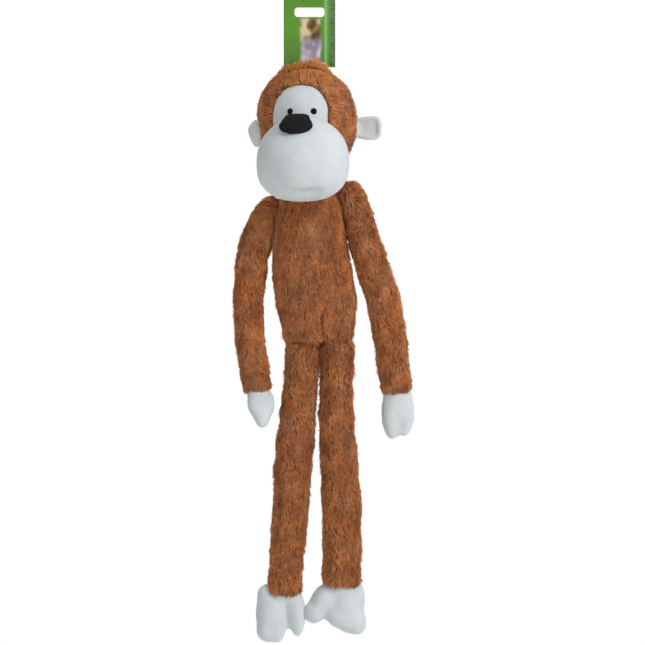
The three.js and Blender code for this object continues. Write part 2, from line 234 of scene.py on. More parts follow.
def one_skin(obj, voxel, smoothing):
    """Melts a form into one even skin."""
    remesh = obj.modifiers.new("remesh", "REMESH")
    remesh.mode = "VOXEL"
    remesh.voxel_size = voxel
    soften = obj.modifiers.new("soften", "SMOOTH")
    soften.factor = 0.5
    soften.iterations = smoothing
    apply_modifiers(obj)


def finer(obj):
    """Divides each face of the skin smoothly."""
    obj.modifiers.new("finer", "SUBSURF").levels = 1
    apply_modifiers(obj)


def puffed(obj, cap):
    """Cloth simulation: the skin fills out under pressure, nowhere by more than the cap."""
    frames = 20
    before = points_of(obj)
    cloth = obj.modifiers.new("cloth", "CLOTH")
    settings = cloth.settings
    settings.use_pressure = True
    settings.uniform_pressure_force = 4
    settings.effector_weights.gravity = 0
    settings.quality = 5
    settings.tension_stiffness = settings.compression_stiffness = 12
    settings.bending_stiffness = 0.5
    cloth.point_cache.frame_start = 1
    cloth.point_cache.frame_end = frames
    for step in range(1, frames + 1):
        scene.frame_set(step)
    apply_modifiers(obj)
    scene.frame_set(1)
    moved = points_of(obj) - before
    far = np.linalg.norm(moved, axis=1, keepdims=True)
    set_points(obj, before + moved * np.minimum(1, cap / np.maximum(far, 1e-9)))


def lumpy(obj, size, amount, seed):
    """Raises soft bumps over the skin, about a size apart and an amount high."""
    points = points_of(obj)
    shift = Vector((seed * 7.3, seed * 3.1, seed * 5.7))
    heights = np.array([noise.noise(Vector(p) / size + shift) for p in points])
    set_points(obj, points + normals_of(obj) * (heights * amount)[:, None])


# ---- Materials ----


class Nodes:
    """A material's node tree with short calls for the nodes used here."""

    def __init__(self, name, **sockets):
        self.material = bpy.data.materials.new(name)
        self.material.use_nodes = True
        self.tree = self.material.node_tree
        self.shader = self.tree.nodes["Principled BSDF"]
        for socket in self.shader.inputs:
            label = socket.name.lower().replace(" ", "_")
            if label in sockets:
                socket.default_value = sockets[label]
        self.place = self.add("ShaderNodeTexCoord").outputs["Object"]

    def add(self, kind, **settings):
        """A new node with its settings."""
        node = self.tree.nodes.new(kind)
        for label, value in settings.items():
            setattr(node, label, value)
        return node

    def link(self, source, socket):
        """Another node's output, a value or a colour into a socket."""
        if hasattr(source, "node"):
            self.tree.links.new(source, socket)
        else:
            socket.default_value = (*source, 1) if isinstance(source, tuple) else source

    def noise(self, scale, detail=3.0, stretch=(1, 1, 1)):
        """Soft noise over the object, drawn out along the axes with a small stretch."""
        mapping = self.add("ShaderNodeMapping")
        mapping.inputs["Scale"].default_value = stretch
        self.link(self.place, mapping.inputs["Vector"])
        node = self.add("ShaderNodeTexNoise")
        node.inputs["Scale"].default_value = scale
        node.inputs["Detail"].default_value = detail
        self.link(mapping.outputs["Vector"], node.inputs["Vector"])
        return node.outputs["Fac"]

    def ramp(self, source, *stops):
        """Colours or greys at places from 0 to 1."""
        node = self.add("ShaderNodeValToRGB")
        elements = node.color_ramp.elements
        while len(elements) < len(stops):
            elements.new(0.5)
        for element, (place, colour) in zip(elements, stops):
            element.position = place
            element.color = (*colour, 1) if len(colour) == 3 else (colour[0],) * 3 + (1,)
        self.link(source, node.inputs["Fac"])
        return node.outputs["Color"]

    def mix(self, share, first, second, mode="MIX"):
        """Two colours blended by a share."""
        node = self.add("ShaderNodeMix", data_type="RGBA", blend_type=mode)
        for value, label in ((share, 0), (first, 6), (second, 7)):
            self.link(value, node.inputs[label])
        return node.outputs[2]

    def maths(self, operation, first, second=0.5, third=0.5, clamp=False):
        """Arithmetic on up to three values."""
        node = self.add("ShaderNodeMath", operation=operation, use_clamp=clamp)
        for value, socket in zip((first, second, third), node.inputs):
            self.link(value, socket)
        return node.outputs[0]

    def carried(self, source, **ends):
        """A value carried from one range to another."""
        node = self.add("ShaderNodeMapRange")
        for label, value in ends.items():
            node.inputs[label.replace("_", " ").title()].default_value = value
        self.link(source, node.inputs["Value"])
        return node.outputs[0]

    def axis(self, letter):
        """The place along X, Y or Z."""
        node = self.add("ShaderNodeSeparateXYZ")
        self.link(self.place, node.inputs[0])
        return node.outputs[letter]

    def attribute(self, name):
        """A value stored on the mesh's points."""
        return self.add("ShaderNodeAttribute", attribute_name=name).outputs["Fac"]

    def colour(self, source):
        """The shader's colour."""
        self.link(source, self.shader.inputs["Base Color"])

    def roughness(self, source, low, high):
        """Roughness from low to high as the source goes from 0 to 1."""
        self.link(self.carried(source, to_min=low, to_max=high), self.shader.inputs["Roughness"])

    def bump(self, height, distance, strength=1.0):
        """Fine relief, no deeper than the distance."""
        node = self.add("ShaderNodeBump")
        for value, label in ((strength, "Strength"), (distance, "Distance"), (height, "Height")):
            self.link(value, node.inputs[label])
        self.link(node.outputs["Normal"], self.shader.inputs["Normal"])


def grained(made, grain, colours, gloss, relief):
    """The material whose colour, roughness and relief all follow one grain."""
    made.colour(made.ramp(grain, *colours))
    made.roughness(grain, *gloss)
    made.bump(grain, relief)
    return made.material


def fur_material(name, dark, middle, light):
    """Locks: painted shade towards the root, orange on the crown, each lock and patch a little different."""
    crown_low, crown_high, crown_orange = -88 * mm, -62 * mm, (0.66, 0.24, 0.05)
    made = Nodes(name, roughness=0.8, sheen_weight=0.12, sheen_roughness=0.5, sheen_tint=(1.0, 0.72, 0.5, 1))
    patches = made.noise(75, 2.0, (1, 1, 0.6))
    strands = made.noise(900, 2.0, (1, 1, 0.15))
    mixed = made.maths("MULTIPLY_ADD", made.attribute("tint"), 0.34, made.maths("MULTIPLY", patches, 0.85))
    # Lighter towards the tips and darker at the roots: painted shade deep in the pile.
    mixed = made.maths("MULTIPLY_ADD", made.attribute("along"), 0.14, mixed)
    coloured = made.ramp(mixed, (0.35, dark), (0.66, middle), (1.0, light))
    warm = made.ramp(made.noise(40, 1.0), (0.35, (0.92, 1.0, 1.12)), (0.65, (1.06, 0.97, 0.80)))
    coloured = made.mix(1.0, coloured, warm, "MULTIPLY")
    height = made.carried(made.axis("Z"), from_min=crown_low, from_max=crown_high)
    coloured = made.mix(height, coloured, crown_orange)
    # Painted shade: each lock darkened towards its root, where the pile shades itself.
    root_shade = made.ramp(made.attribute("along"), (0.0, (0.5,)), (0.5, (0.92,)), (1.0, (1.0,)))
    made.colour(made.mix(1.0, coloured, root_shade, "MULTIPLY"))
    made.roughness(strands, 0.68, 0.92)
    made.bump(strands, 0.2 * mm, 0.6)
    return made.material


def fur_backing_material():
    """The knitted ground of the fur between the locks."""
    made = Nodes("fur_backing", roughness=0.95)
    knit = made.noise(1400, 2.0, (1, 1, 0.4))
    colours = (0.3, (0.13, 0.042, 0.014)), (0.7, (0.24, 0.08, 0.028))
    return grained(made, knit, colours, (0.85, 1.0), 0.5 * mm)


def white_cloth_material():
    """Cool white short pile with a fine nap, a little darker where it is brushed."""
    made = Nodes("white_cloth", roughness=0.9, sheen_weight=0.3, sheen_roughness=0.5)
    nap = made.noise(1100, 3.0)
    brushed = made.noise(45, 3.0, (1, 1, 0.6))
    fine = made.ramp(nap, (0.3, (0.54, 0.58, 0.592)), (0.62, (0.63, 0.665, 0.675)))
    wide = made.ramp(brushed, (0.35, (0.90, 0.925, 0.925)), (0.65, (1.0, 1.0, 1.0)))
    made.colour(made.mix(1.0, fine, wide, "MULTIPLY"))
    made.roughness(nap, 0.8, 0.98)
    made.bump(nap, 0.45 * mm, 0.8)
    return made.material


def black_cloth_material():
    """Black short pile and thread, a little lighter where it is brushed."""
    made = Nodes("black_cloth", roughness=0.9, specular_ior_level=0.15)
    colours = (0.35, (0.003, 0.003, 0.004)), (0.75, (0.012, 0.012, 0.015))
    return grained(made, made.noise(1300, 3.0), colours, (0.6, 0.9), 0.4 * mm)


def stuffing_material():
    """Off-white matted fibre."""
    made = Nodes("stuffing", roughness=1.0)
    colours = (0.3, (0.74, 0.72, 0.68)), (0.7, (0.92, 0.91, 0.88))
    return grained(made, made.noise(420, 6.0), colours, (0.9, 1.0), 1.2 * mm)


def moulded_material(name, first, second, low, high):
    """Moulded plastic, slightly mottled in colour and gloss."""
    made = Nodes(name, roughness=(low + high) / 2)
    mottle = made.noise(160, 4.0)
    made.colour(made.ramp(mottle, (0.3, first), (0.7, second)))
    made.roughness(mottle, low, high)
    made.bump(made.noise(1500, 2.0), 0.05 * mm, 0.5)
    return made.material


def card_material():
    """Printed card: green, with stripes at one side and a soft-edged picture of no real thing."""
    made = Nodes("printed_card", roughness=0.4, coat_weight=0.25, coat_roughness=0.2)
    x, z = made.axis("X"), made.axis("Z")
    cloudy = made.noise(60, 3.0)
    fibres = made.noise(2600, 2.0)
    bottom, top = -62 * mm, 18 * mm

    def band(value, low, high, soft):
        """One between two places along an axis, fading over the soft edge."""
        up = made.maths("DIVIDE", made.maths("SUBTRACT", value, low), soft, clamp=True)
        fall = made.maths("DIVIDE", made.maths("SUBTRACT", high, value), soft, clamp=True)
        return made.maths("MULTIPLY", up, fall, clamp=True)

    def uneven(value, amount):
        """A place along an axis, shifted here and there by up to half the amount."""
        return made.maths("MULTIPLY_ADD", made.maths("SUBTRACT", cloudy, 0.5), amount, value)

    fade = made.carried(z, from_min=bottom, from_max=top)
    greens = (0.0, (0.045, 0.17, 0.012)), (0.5, (0.085, 0.26, 0.014)), (1.0, (0.055, 0.21, 0.013))
    printed = made.ramp(fade, *greens)
    printed = made.mix(made.maths("MULTIPLY", cloudy, 0.4), printed, (0.15, 0.32, 0.035))

    # Upright bands: where each starts and ends, its soft edge, all in millimetres, and its colour.
    grain = made.noise(300, 3.0, (0.5, 1, 1.4))
    mottled = made.ramp(grain, (0.3, (0.03, 0.10, 0.02)), (0.7, (0.13, 0.23, 0.08)))
    for low, high, soft, colour in (
        # The first band makes the card darker towards its left edge.
        (-40, -25, 2.5, (0.035, 0.10, 0.012)),
        (14.0, 20.5, 2.0, (0.13, 0.34, 0.085)),
        (15.8, 18.0, 0.5, (0.24, 0.47, 0.16)),
        (20.8, 28, 1.0, mottled),
        (26.2, 40, 1.0, (0.02, 0.09, 0.012)),
    ):
        printed = made.mix(band(x, low * mm, high * mm, soft * mm), printed, colour)

    # The picture: warm browns above, pale lilac below and one dark soft blot, all without an outline.
    blots = made.noise(75, 1.5, (1, 1, 0.8))
    browns = (0.38, (0.07, 0.045, 0.008)), (0.5, (0.24, 0.15, 0.035)), (0.6, (0.62, 0.52, 0.33))
    lilacs = (0.38, (0.26, 0.21, 0.28)), (0.5, (0.48, 0.41, 0.50)), (0.62, (0.74, 0.68, 0.72))
    height = uneven(z, 18 * mm)
    picture = made.mix(band(height, -80 * mm, -30 * mm, 9 * mm), made.ramp(blots, *browns),
                       made.ramp(blots, *lilacs))
    blot = made.maths("MULTIPLY", band(x, 0.5 * mm, 7.5 * mm, 3.5 * mm),
                      band(height, -37 * mm, -26 * mm, 5 * mm))
    picture = made.mix(blot, picture, (0.035, 0.012, 0.014))
    window = made.maths("MULTIPLY", band(uneven(x, 9 * mm), -10.5 * mm, 13.5 * mm, 4 * mm),
                        band(z, bottom, -9.5 * mm, 4 * mm))
    made.colour(made.mix(window, printed, picture))
    made.roughness(fibres, 0.32, 0.5)
    made.bump(fibres, 0.03 * mm, 0.5)
    return made.material


# ---- Fur ----


def scattered(obj, count, rng, weight=None):
    """Random points on a skin with their normals, more of them where the weight is larger."""
    mesh = obj.data
    mesh.calc_loop_triangles()
    corners = np.empty(len(mesh.loop_triangles) * 3, int)
    mesh.loop_triangles.foreach_get("vertices", corners)
    corners = corners.reshape(-1, 3)
    points, normals = points_of(obj), normals_of(obj)
    a, b, c = (points[corners[:, i]] for i in range(3))
    areas = np.linalg.norm(np.cross(b - a, c - a), axis=1)
    if weight is not None:
        areas = areas * weight((a + b + c) / 3)
    chosen = rng.choice(len(corners), size=count, p=areas / areas.sum())
    u, v = rng.random(count), rng.random(count)
    over = u + v > 1
    u[over], v[over] = 1 - u[over], 1 - v[over]
    shares = np.stack([1 - u - v, u, v], axis=1)[:, :, None]
    picked = corners[chosen]
    return (points[picked] * shares).sum(axis=1), unit((normals[picked] * shares).sum(axis=1))


def pile(name, skin, count, length, flow, seed, width=1.15 * mm, lift=0.5, weight=None):
    """Fur on a skin: curved tapering locks that rise from it at a slant and gather into tufts.

    flow gives the way the fur lies at each point, and length may be a number or a function of the points.
    """
    locks_per_tuft, gathering, drooping, sunk = 22, 0.32, 0.3, 0.6 * mm
    rng = np.random.default_rng(seed)
    roots, normals = scattered(skin, count, rng, weight)
    lie = flow(roots)
    lie = unit(lie - normals * (lie * normals).sum(axis=1, keepdims=True))
    across = np.cross(normals, lie)

    # Tufts: locks near one centre share a lean, a tint and a meeting place for their tips.
    tufts = roots[rng.choice(count, size=count // locks_per_tuft, replace=False)]
    nearest = nearest_of(roots, tufts)
    swirl = np.array([noise.noise(Vector(root) / (15 * mm)) for root in roots])
    lean = swirl + rng.normal(0, 0.20, len(tufts))[nearest] + rng.normal(0, 0.22, count)
    shade = rng.random(len(tufts))[nearest]
    way = unit(lie * np.cos(lean)[:, None] + across * np.sin(lean)[:, None])

    long = length(roots) if callable(length) else np.full(count, length)
    long = long * rng.uniform(0.70, 1.20, count) * (0.88 + 0.24 * rng.random(len(tufts))[nearest])
    rise = np.clip(lift + rng.normal(0, 0.14, count), 0.12, 1.45)
    start = normals * np.sin(rise)[:, None] + way * np.cos(rise)[:, None]
    gather = (tufts[nearest] - roots) * gathering
    gather -= normals * (gather * normals).sum(axis=1, keepdims=True)

    def middle_line(share):
        """The middle of each lock at a share of its length."""
        straight = roots - normals * sunk + start * (long * share)[:, None]
        return straight - normals * (long * drooping * share**2)[:, None] + gather * share**2

    # Each lock is a three-sided spike: a ring at the root, a ring half way and the tip.
    side = unit(np.cross(normals, way)) * width * 0.5
    rings = []
    for share, wide in ((0.0, 1.0), (0.5, 0.85)):
        corners = -side * wide, side * wide, normals * width * 0.55 * wide
        rings.append(np.stack([middle_line(share) + corner for corner in corners], axis=1))
    points = np.concatenate([*rings, middle_line(1.0)[:, None, :]], axis=1)

    per = points.shape[1]
    quads = np.array([(0, 1, 4, 3), (1, 2, 5, 4), (2, 0, 3, 5)])
    ends = np.array([(3, 4, 6), (4, 5, 6), (5, 3, 6), (2, 1, 0)])
    firsts = (np.arange(count) * per)[:, None, None]
    made = fast_mesh(name, points, quads + firsts, ends + firsts)
    set_attribute(made, "tint", np.repeat(0.5 * shade + 0.5 * rng.random(count), per))
    set_attribute(made, "along", np.tile([0, 0, 0, 0.5, 0.5, 0.5, 1.0], count))
    return made


def nearest_of(points, centres, batch=1000):
    """The number of each point's nearest centre, worked out a batch at a time."""
    found = np.empty(len(points), int)
    for first in range(0, len(points), batch):
        part = points[first:first + batch]
        apart = ((part[:, None, :] - centres[None]) ** 2).sum(axis=2)
        found[first:first + batch] = apart.argmin(axis=1)
    return found


def fast_mesh(name, points, quads, triangles):
    """A mesh object from large arrays of quads and triangles."""
    mesh = bpy.data.meshes.new(name)
    mesh.vertices.add(points.size // 3)
    mesh.vertices.foreach_set("co", points.astype(np.float32).ravel())
    corners = np.concatenate([quads.ravel(), triangles.ravel()]).astype(np.int32)
    sizes = np.concatenate([np.full(quads.size // 4, 4), np.full(triangles.size // 3, 3)])
    mesh.loops.add(len(corners))
    mesh.loops.foreach_set("vertex_index", corners)
    mesh.polygons.add(len(sizes))
    mesh.polygons.foreach_set("loop_start", np.concatenate([[0], np.cumsum(sizes)[:-1]]).astype(np.int32))
    mesh.update(calc_edges=True)
    mesh.shade_smooth()
    return placed(name, mesh)


def set_attribute(obj, name, values):
    """Stores one value for each point of the mesh."""
    attribute = obj.data.attributes.new(name, "FLOAT", "POINT")
    attribute.data.foreach_set("value", np.asarray(values, np.float32))


# ---- Dressing pieces and putting them on bodies ----


def dress(obj, material):
    """Gives the piece its material."""
    obj.data.materials.clear()
    obj.data.materials.append(material)


def carry_over(names, material):
    """Gives a better material to CAD nodes whose shape is right."""
    for name in names:
        node = frame["nodes"][name]
        node.data.materials.clear()
        node.data.materials.append(material)


white_cloth = white_cloth_material()
black_cloth = black_cloth_material()
backing = fur_backing_material()
fibres = stuffing_material()
fur = fur_material("brown_fur", (0.26, 0.078, 0.024), (0.53, 0.178, 0.055), (0.80, 0.33, 0.11))
crown_fur = fur_material("crown_fur", (0.40, 0.10, 0.015), (0.66, 0.22, 0.035), (0.88, 0.38, 0.08))


# ---- Camera, floor and light ----


def camera():
    """A long lens straight in front, with the card's fold just out of the picture."""
    lens, sensor, view_height = 300.0, 36.0, 677.25 * mm
    data = bpy.data.cameras.new("camera")
    data.lens, data.sensor_width = lens, sensor
    distance = view_height * lens / sensor
    data.clip_end = 100
    made = placed("camera", data)
    made.location = (13.65 * mm, -distance, -330.75 * mm)
    made.rotation_euler = (radians(90), 0, 0)
    scene.camera = made


def floor():
    """A wide pale floor well below the feet."""
    height, reach = -0.95, 4.0
    corners = [(x * reach, y * reach, height) for x, y in ((-1, -1), (1, -1), (1, 1), (-1, 1))]
    made = mesh_object("floor", corners, [(0, 1, 2, 3)])
    look = Nodes("pale_floor", roughness=0.8)
    mottle = look.noise(6.0)
    look.colour(look.ramp(mottle, (0.3, (0.88, 0.88, 0.87)), (0.7, (0.91, 0.91, 0.90))))
    made.data.materials.append(look.material)


def soft_light(name, place, size, power):
    """A round soft light that faces the middle of the monkey."""
    middle = Vector((0, 0, -0.33))
    data = bpy.data.lights.new(name, "AREA")
    data.shape = "DISK"
    data.size, data.energy = size, power
    made = placed(name, data)
    made.location = place
    made.rotation_euler = (middle - Vector(place)).to_track_quat("-Z", "Y").to_euler()


def studio():
    """Soft lights on both sides, behind and above, in a white room that lights only a little."""
    soft_light("key", (1.8, -1.6, 0.9), 1.1, 52)
    soft_light("fill", (-1.8, -1.9, 0.3), 1.4, 12)
    soft_light("back", (0.3, 2.0, 0.8), 1.4, 14)
    above = bpy.data.lights.new("above", "SUN")
    above.energy, above.angle = 0.9, radians(50)
    placed("above", above)

    world = bpy.data.worlds.new("studio")
    scene.world = world
    world.use_nodes = True
    nodes, link = world.node_tree.nodes, world.node_tree.links.new
    lighting = nodes["Background"]
    lighting.inputs["Strength"].default_value = 0.25
    seen = nodes.new("ShaderNodeBackground")
    for background in (lighting, seen):
        background.inputs["Color"].default_value = (1, 1, 1, 1)
    path = nodes.new("ShaderNodeLightPath")
    mix = nodes.new("ShaderNodeMixShader")
    sources = path.outputs["Is Camera Ray"], lighting.outputs[0], seen.outputs[0]
    for source, socket in zip(sources, mix.inputs):
        link(source, socket)
    link(mix.outputs[0], nodes["World Output"].inputs[0])
    scene.view_settings.view_transform = "Standard"


# ---- Forms drawn round a middle ----


def pad(name, outline, front, back):
    """A closed pad, from functions for its reach in X and Z and for its two faces' heights along Y.

    Each is asked for all angles at once, and the faces at a share from 0 in the middle to 1 at the edge.
    """
    rings, sides = 14, 56
    angles = np.arange(sides) * 2 * pi / sides
    reach = outline(angles)

    def row(share, face):
        across, up = share * reach * np.cos(angles), share * reach * np.sin(angles)
        return np.stack([across, face(share, angles), up], axis=1)

    shares = np.sin(np.linspace(0, pi / 2, rings + 1))[1:]
    rows = [row(share, front) for share in shares] + [row(share, back) for share in shares[-2::-1]]
    poles = [row(0.0, front)[0], row(0.0, back)[0]]
    made = mesh_object(name, np.vstack([*rows, poles]), ring_faces(len(rows), sides))
    faces_out(made)
    return made


def drawn_outline(knots):
    """The reach in each direction of a smooth closed curve through the knots, which go anticlockwise."""
    closed = np.vstack([knots[-1], knots, knots[0], knots[1]])
    curve = through(closed, 40 * len(closed))[40:-40]
    heading = np.arctan2(curve[:, 1], curve[:, 0]) % (2 * pi)
    order = np.argsort(heading)
    distance = np.hypot(curve[:, 0], curve[:, 1])

    def reach(angles):
        return np.interp(angles, heading[order], distance[order], period=2 * pi)
    return reach


# ---- Card, pins and squeaker ----


def hard_parts():
    """The card, its pins and the squeaker keep their CAD shapes."""
    carry_over(["header_card"], card_material())
    nylon = moulded_material("nylon", (0.72, 0.72, 0.70), (0.82, 0.82, 0.80), 0.3, 0.45)
    carry_over(["tag_pin_left", "tag_pin_right", "squeaker_reed"], nylon)
    plastic = moulded_material("squeaker_plastic", (0.66, 0.63, 0.55), (0.74, 0.71, 0.63), 0.35, 0.5)
    carry_over(["squeaker_body"], plastic)


# ---- Stuffing ----


def stuffing():
    """Each lump of fibre inside, a little smaller than its CAD solid so that no fabric touches it."""
    drawn_in = {"upper_arm_stuffing_left": (1, 1, 0.92), "upper_arm_stuffing_right": (1, 1, 0.92),
                "muzzle_stuffing": (0.95, 0.95, 0.93), "torso_stuffing": (1, 0.88, 0.97)}
    for name, node in frame["nodes"].items():
        if "stuffing" not in name or name.startswith(("hand", "foot")):
            continue
        lump = placed(f"{name}_fibre", node.data.copy())
        one_skin(lump, 3.2 * mm, 3)
        points = points_of(lump) - normals_of(lump) * 1.9 * mm
        middle = points.mean(axis=0)
        set_points(lump, middle + (points - middle) * np.array(drawn_in.get(name, (1, 1, 1))))
        lumpy(lump, 7 * mm, 0.8 * mm, 3)
        dress(lump, fibres)
        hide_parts(name)
        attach(lump, node["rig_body"])


# ---- Head ----


def face_outline(angles):
    """The reach of the face's opening in each direction, a rounded oblong in shares of the head's radii."""
    across = (np.abs(np.cos(angles + face_lean)) / face_half[0]) ** face_squareness
    up = (np.abs(np.sin(angles + face_lean)) / face_half[1]) ** face_squareness
    return (across + up) ** (-1 / face_squareness)


def settled(heights, squareness):
    """How much wider than a ball a form is where its stuffing has settled, with heights from 1 to -1."""
    low = np.clip(-heights, 0, 0.985)
    return (1 - low**squareness) ** (1 / squareness) / np.sqrt(1 - low**2)


def fuller_below(points):
    """Head points, before they turn, swelled below the middle."""
    swell = settled(points[:, 2] / head_radii[2], 2.7)
    return points * np.stack([swell, swell, np.ones(len(points))], axis=1)


def fuller_side(points):
    """Head points, before they turn, pushed out above the right ear, where the stuffing has gathered."""
    height, reach, swell = radians(32), 0.72, 4.2 * mm
    heading = np.array([-cos(height), 0, sin(height)])
    along = unit(points)
    share = np.clip((along @ heading - reach) / (1 - reach), 0, 1)
    return points + along * (share * share * (3 - 2 * share) * swell)[:, None]


def hood_flow(points):
    """The fur lies away from the face at the front, back over the crown and down at the back."""
    local = from_head(points)
    radial = unit(local * np.array([1.0, 0.0, 1.0]) + np.array([0, 0, 12 * mm]))
    front = np.clip((20 * mm - local[:, 1:2]) / (50 * mm), 0, 1)
    return radial * front * 0.9 + down * (1.15 - 0.8 * front) + np.array([0, 0.5, 0])


def hood():
    """Two fur panels that meet in a seam over the crown, as one thick skin open round the face."""
    sides, rings, wall, outside = 96, 44, 1.6 * mm, head_radii - 1.2 * mm
    angles = np.arange(sides) * 2 * pi / sides
    rim = np.arcsin(face_outline(angles))
    shares = np.linspace(0, 0.985, rings)

    def ring(share, radii):
        """The ring at a share of the way from the face's rim to the back of the head."""
        turn = rim + (pi - rim) * share
        round_y = np.stack([np.sin(turn) * np.cos(angles), -np.cos(turn), np.sin(turn) * np.sin(angles)], 1)
        return fuller_below(turned(round_y, face_turn) * radii)

    rows = [on_head(fuller_side(ring(share, outside))) for share in shares[::-1]]
    rows += [on_head(ring(share, outside - wall)) for share in shares]
    poles = on_head(turned([[0, outside[1], 0], [0, outside[1] - wall, 0]], face_turn))
    skin = mesh_object("hood_skin", np.vstack([*rows, poles]), ring_faces(len(rows), sides))
    faces_out(skin)
    lumpy(skin, 20 * mm, 1.0 * mm, 1)
    groove(skin, lambda points: from_head(points)[:, 0], 1.6 * mm, 1.0 * mm)
    dress(skin, backing)
    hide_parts("hood_left", "hood_right")

    def outer(points):
        """Only the outside, clear of the muzzle and of the gap that the card hangs in."""
        local = from_head(points)
        skin_side = np.linalg.norm(local / (head_radii - 2.0 * mm), axis=1) > 0.99
        hidden = np.linalg.norm((local - muzzle_centre) / (muzzle_radii - 3 * mm), axis=1) < 1
        in_gap = np.abs(points[:, 1] - 0.5 * mm) < 2.2 * mm
        at_card = in_gap & (np.abs(points[:, 0]) < 28 * mm) & (local[:, 2] > 0)
        return skin_side & ~hidden & ~at_card

    for side, sign in (("left", 1), ("right", -1)):
        def half(points):
            """The outside on this side of the seam."""
            return outer(points) & (sign * from_head(points)[:, 0] > 0)

        made = pile(f"hood_fur_{side}", skin, 15000, 7.5 * mm, hood_flow, 11 + sign, lift=0.45, weight=half)
        dress(made, fur)
        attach(made, "head")
    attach(skin, "head")
    crown_tuft(skin)


def crown_tuft(skin):
    """Longer, brighter locks that stand up from the crown, before and behind the card."""
    middle, half_width, clear = -4.5 * mm, 28 * mm, 3.2 * mm

    def near_crown(points):
        """Only the top of the head, before and behind the card."""
        across = np.abs(points[:, 0] - middle) < half_width
        depth = np.abs(points[:, 1])
        high = points[:, 2] > head_centre[2] + 38 * mm
        return across & high & (depth > clear) & (depth < 17 * mm)

    def leaning(points):
        """Away from the card, and outwards at the sides."""
        across = points[:, 0] - middle
        return np.stack([across * 13, points[:, 1] * 34, np.full(len(points), 0.3)], axis=1)

    def length(points):
        """Longest in the middle, beside the card and in front of it."""
        central = np.clip(1 - ((points[:, 0] - middle) / half_width) ** 2, 0, 1)
        near_card = np.clip(1 - (np.abs(points[:, 1]) - clear) / (14 * mm), 0, 1)
        tall = np.where(points[:, 1] < 0, 14.0, 7.0)
        return (4.5 + tall * central * (0.25 + 0.75 * near_card)) * mm

    made = pile("crown_tuft", skin, 5200, length, leaning, 31, width=1.2 * mm, lift=1.15, weight=near_crown)
    dress(made, crown_fur)
    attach(made, "head")


def groove(obj, distance, half_width, depth):
    """Pushes the skin in along the line where distance is zero."""
    points = points_of(obj)
    share = np.clip(1 - (np.abs(distance(points)) / half_width) ** 2, 0, 1) ** 2
    set_points(obj, points - normals_of(obj) * (share * depth)[:, None])


def face_panel():
    """The white forehead, slightly crowned, with its edge tucked under the hood."""
    radii = head_radii - 1.9 * mm
    tuck, crown, thickness = 1.07, 1.8 * mm, 3 * mm

    def outline(angles):
        return face_outline(angles) * tuck

    def surface(inset, bulge):
        """A face of the pad that follows the head, sunk by the inset and bulging in the middle."""
        def y(share, angles):
            return -(radii[1] - inset) * np.sqrt(1 - (share * outline(angles)) ** 2) - bulge * (1 - share**2)
        return y

    made = pad("face_skin", outline, surface(0, crown), surface(thickness, 0))
    points = points_of(made) * np.array([radii[0], 1, radii[2]])
    set_points(made, on_head(fuller_below(turned(points, face_turn))))
    finer(made)
    lumpy(made, 12 * mm, 0.35 * mm, 2)
    dress(made, white_cloth)
    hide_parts("face_panel")
    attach(made, "head")


def muzzle():
    """The big white ball, taller above its middle and squarer below, with the mouth low on it."""
    taller, deeper, fuller = 1.09, 1.02, 0.8 * mm
    made = ellipsoid((0, 0, 0), (1, 1, 1))
    made.name = "muzzle_skin"
    points = points_of(made)
    points[:, 0] *= settled(points[:, 2], 2.6)
    points[:, 2] *= np.where(points[:, 2] > 0, taller, deeper)
    set_points(made, on_head(points * (muzzle_radii + fuller) + muzzle_centre))
    finer(made)
    faces_out(made)
    puffed(made, 0.8 * mm)
    finer(made)
    mouth_fold(made)
    lumpy(made, 26 * mm, 0.7 * mm, 4)
    dress(made, white_cloth)
    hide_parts("muzzle_upper", "muzzle_lower")
    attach(made, "head")


def mouth_fold(obj):
    """Presses in the mouth: a wavy fold with a stitched seam in it, over a lip set a little back."""
    centre = on_head(muzzle_centre)
    seam_height, half_width, tilt = -29.5 * mm, 21 * mm, radians(12)
    depth, width, setback = 5.6 * mm, 3.4 * mm, 2.2 * mm

    local = points_of(obj) - centre
    across = local[:, 0] / half_width
    wave = 1.1 * mm * np.sin(across * 4.5 - 0.6) + 1.5 * mm * across**2
    above = local[:, 2] - seam_height - wave - local[:, 1] * tan(tilt)
    share = np.clip(1 - across**4, 0, 1) * (local[:, 1] < 0)

    def near(distance):
        """One on the seam, falling off over the distance."""
        return np.exp(-(above / distance) ** 2)

    fold = near(width) * depth
    lip = np.where(above < 0, 1 - near(width), 0) * near(11 * mm) * setback
    seam = near(0.8 * mm) * 0.6 * mm
    set_points(obj, points_of(obj) - normals_of(obj) * ((fold + lip + seam) * share)[:, None])


def nose():
    """A padded black nose: narrow at the top, widest low down, with a round bottom."""
    centre, lean = np.array([-3.5, -65.0, -7.6]) * mm, radians(50)
    front_height, back_height = 5.5 * mm, 4.5 * mm
    right_half = [(17.6, -3.0), (14.4, 6.5), (10.6, 13.8)]
    low_half = [(-14.8, -11.0), (-7.0, -15.6), (0, -16.4), (7.0, -15.6), (14.8, -11.0)]
    knots = [*right_half, (0, 15.0), *[(-x, z) for x, z in right_half[::-1]], *low_half]

    def dome(height):
        """A rounded face of the pad."""
        return lambda share, angles: np.full(len(angles), height * np.sqrt(1 - share**2 * 0.98))

    made = pad("nose_skin", drawn_outline(np.array(knots) * mm), dome(-front_height), dome(back_height))
    set_points(made, on_head(turned(points_of(made), -lean, "X") + centre))
    finer(made)
    lumpy(made, 6 * mm, 0.6 * mm, 5)
    dress(made, black_cloth)
    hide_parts("nose")
    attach(made, "head")


